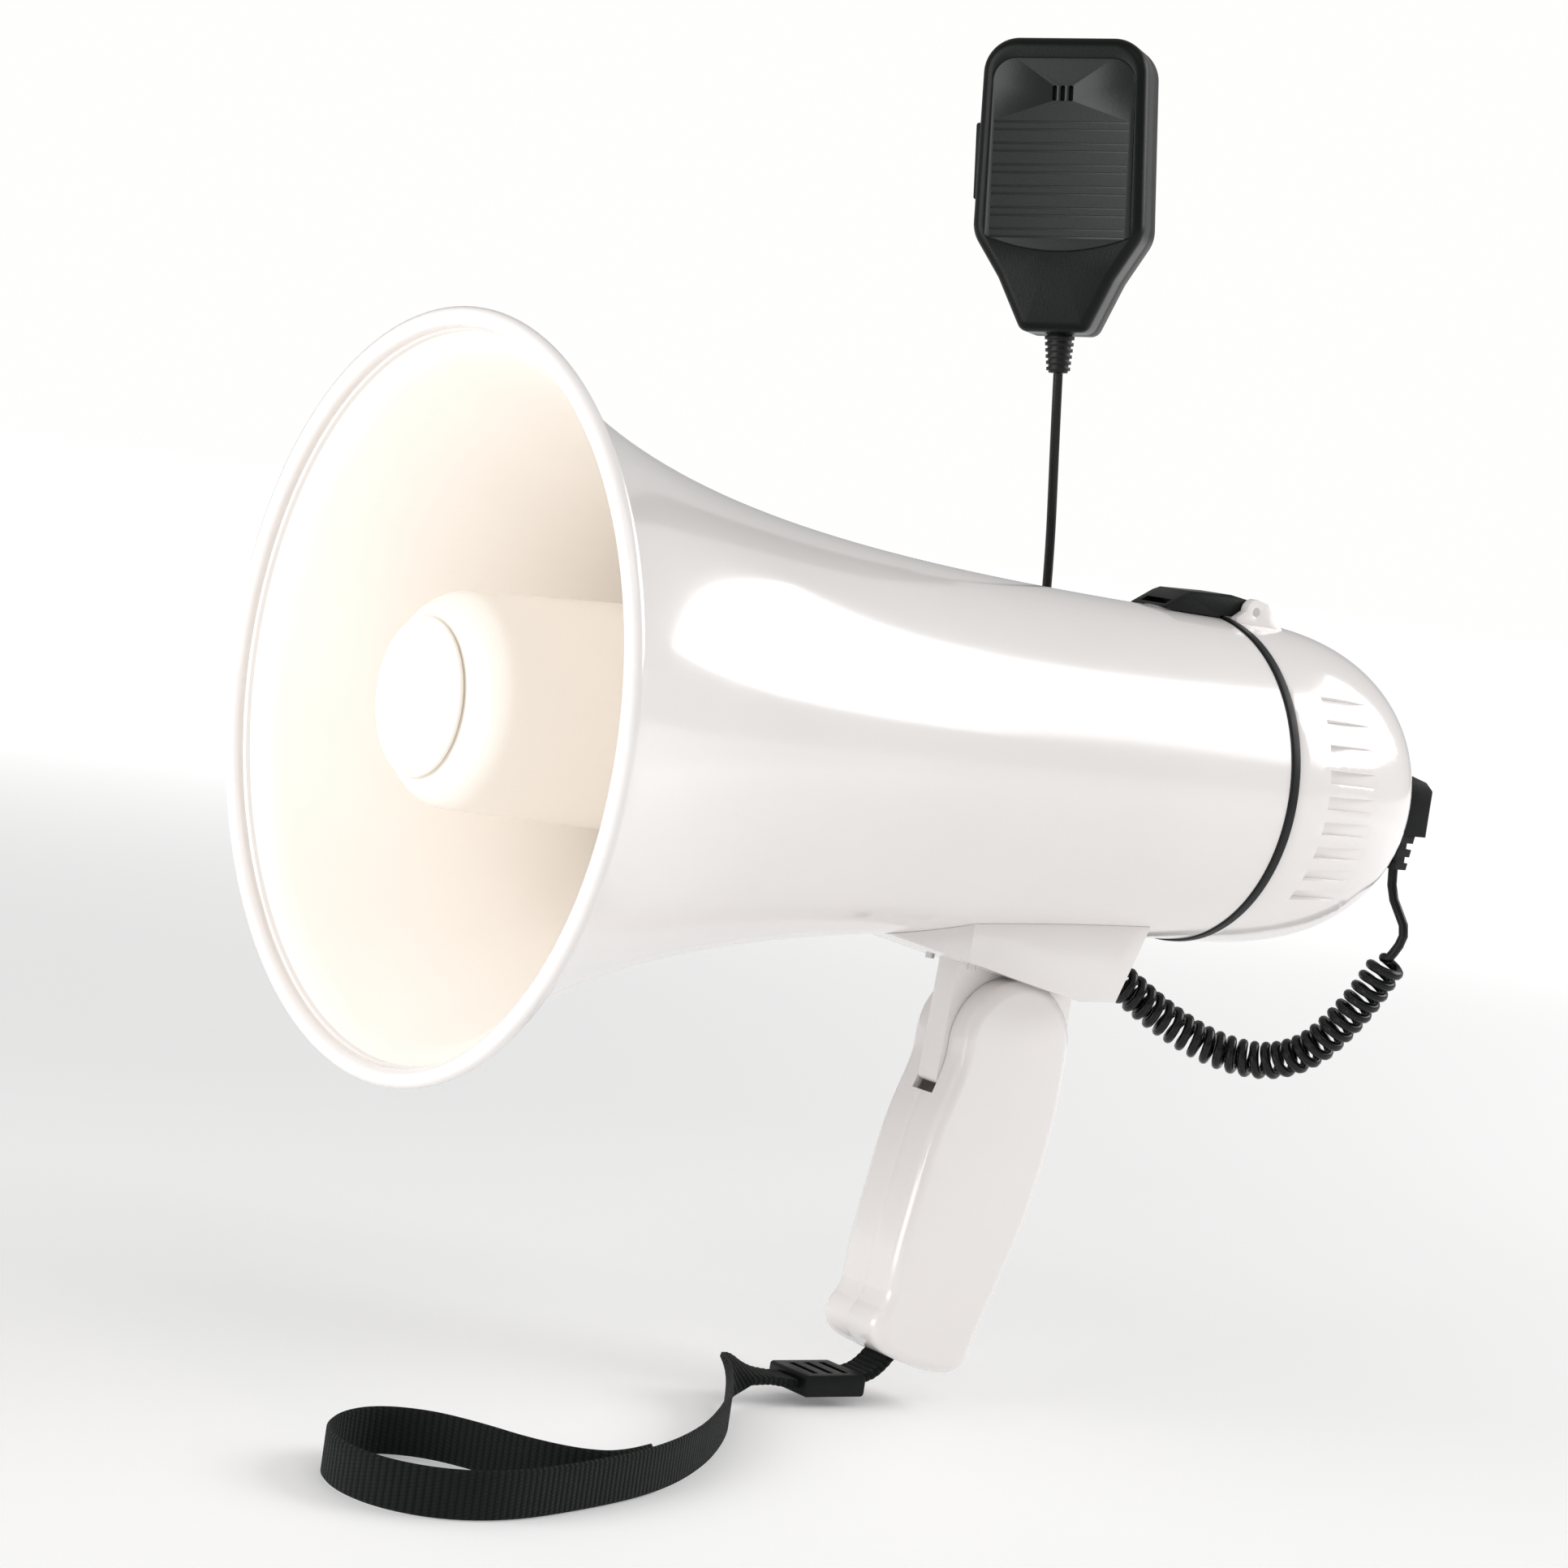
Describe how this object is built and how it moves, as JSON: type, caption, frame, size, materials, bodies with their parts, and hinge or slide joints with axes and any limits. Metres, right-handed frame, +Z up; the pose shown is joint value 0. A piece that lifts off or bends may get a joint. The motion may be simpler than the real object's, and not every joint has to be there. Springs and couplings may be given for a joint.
{
  "type": "handheld megaphone",
  "caption": "Handheld megaphone: flared white horn with inner reflector, folding pistol grip with wrist strap, latched rear cover, coiled cord and separate hand microphone.",
  "frame": {"origin": "in the palm of the grip, on the plane between its halves", "axes": "+X towards the rear cover, +Y to the right of the person holding it, +Z up"},
  "size_m": [0.4371, 0.2341, 0.4545],
  "materials": {
    "white_shell": "glossy moulded ABS, slightly warm white",
    "cream_plastic": "semi-gloss moulded ABS, cream",
    "black_rubber": "smooth soft rubber",
    "black_plastic": "satin moulded plastic",
    "satin_panel": "fine-textured plastic",
    "button_red": "satin",
    "webbing": "woven ribbed webbing",
    "steel": "bright zinc-plated",
    "ferrite": "sintered ferrite",
    "diaphragm_film": "pressed phenolic film",
    "circuit_board": "solder resist",
    "heat_sink_alloy": "extruded",
    "capacitor_sleeve": "shrink sleeve",
    "cell_wrap": "plain printed wrap without marks"
  },
  "bodies": {
    "megaphone": {"horn_bell": "white_shell", "rear_cover": "white_shell", "handle_bracket": "white_shell", "reflector": "cream_plastic", "reflector_cap": "cream_plastic", "spider": "cream_plastic", "throat_tube": "cream_plastic", "bulkhead": "cream_plastic", "gasket_band": "black_rubber", "cord_lead": "black_rubber", "cord_coil": "black_rubber", "cord_tail": "black_rubber", "mic_strain_relief": "black_rubber", "plug_strain_relief": "black_rubber", "control_panel": "black_plastic", "mic_front_shell": "black_plastic", "mic_back_shell": "black_plastic", "mic_plug": "black_plastic", "strap_buckle": "black_plastic", "potentiometer": "black_plastic", "battery_holder": "black_plastic", "charge_socket": "black_plastic", "ptt_switch": "black_plastic", "mic_front_panel": "satin_panel", "strap_lead": "webbing", "strap_loop": "webbing", "latch_pin": "steel", "bracket_screws": "steel", "bulkhead_screws": "steel", "driver_screws": "steel", "mic_screws": "steel", "clip_pin": "steel", "clip_spring": "steel", "battery_contacts": "steel", "mic_socket": "steel", "mic_capsule": "steel", "yoke": "steel", "driver_frame": "steel", "magnet": "ferrite", "diaphragm": "diaphragm_film", "amplifier_board": "circuit_board", "button_board": "circuit_board", "mic_board": "circuit_board", "heat_sink": "heat_sink_alloy", "capacitors": "capacitor_sleeve", "battery_cells": "cell_wrap"},
    "grip": {"grip_left": "white_shell", "grip_right": "white_shell", "grip_pin": "steel", "grip_screws": "steel", "strap_pin": "steel"},
    "latch": {"latch_lever": "black_plastic"},
    "knob": {"volume_knob": "black_plastic"},
    "talk": {"talk_button": "button_red"},
    "siren": {"siren_button": "button_red"},
    "music": {"music_button": "button_red"},
    "mode": {"mode_switch": "black_plastic"},
    "ptt": {"ptt_button": "black_plastic"},
    "clip": {"mic_clip": "black_plastic"}
  },
  "joints": [
    {"name": "handle_fold", "type": "hinge", "parent": "megaphone", "child": "grip", "pos_m": [0.01, 0, 0.047], "axis": [0, 1, 0], "range_deg": [0, 72], "deforming": ["strap_lead"]},
    {"name": "latch_lift", "type": "hinge", "parent": "megaphone", "child": "latch", "pos_m": [0.085, 0, 0.19785], "axis": [0, 1, 0], "range_deg": [0, 105]},
    {"name": "volume_turn", "type": "hinge", "parent": "megaphone", "child": "knob", "pos_m": [0.152, 0.009, 0.151], "axis": [1, 0, 0], "range_deg": [0, 280]},
    {"name": "talk_press", "type": "slide", "parent": "megaphone", "child": "talk", "axis": [-1, 0, 0], "range_m": [0, 0.0012], "stiffness_N_per_m": 600, "springref_m": -0.001},
    {"name": "siren_press", "type": "slide", "parent": "megaphone", "child": "siren", "axis": [-1, 0, 0], "range_m": [0, 0.0012], "stiffness_N_per_m": 600, "springref_m": -0.001},
    {"name": "music_press", "type": "slide", "parent": "megaphone", "child": "music", "axis": [-1, 0, 0], "range_m": [0, 0.0012], "stiffness_N_per_m": 600, "springref_m": -0.001},
    {"name": "mode_slide", "type": "slide", "parent": "megaphone", "child": "mode", "axis": [0, 1, 0], "range_m": [0, 0.005]},
    {"name": "ptt_press", "type": "slide", "parent": "megaphone", "child": "ptt", "axis": [0.6393, -0.7618, 0.1045], "range_m": [0, 0.0015], "stiffness_N_per_m": 900, "springref_m": -0.001},
    {"name": "clip_open", "type": "hinge", "parent": "megaphone", "child": "clip", "pos_m": [0.05396, 0.08042, 0.35586], "axis": [0.6393, -0.7618, 0.1045], "range_deg": [0, 18], "stiffness_Nm_per_rad": 0.5, "springref_deg": -22.92}
  ]
}
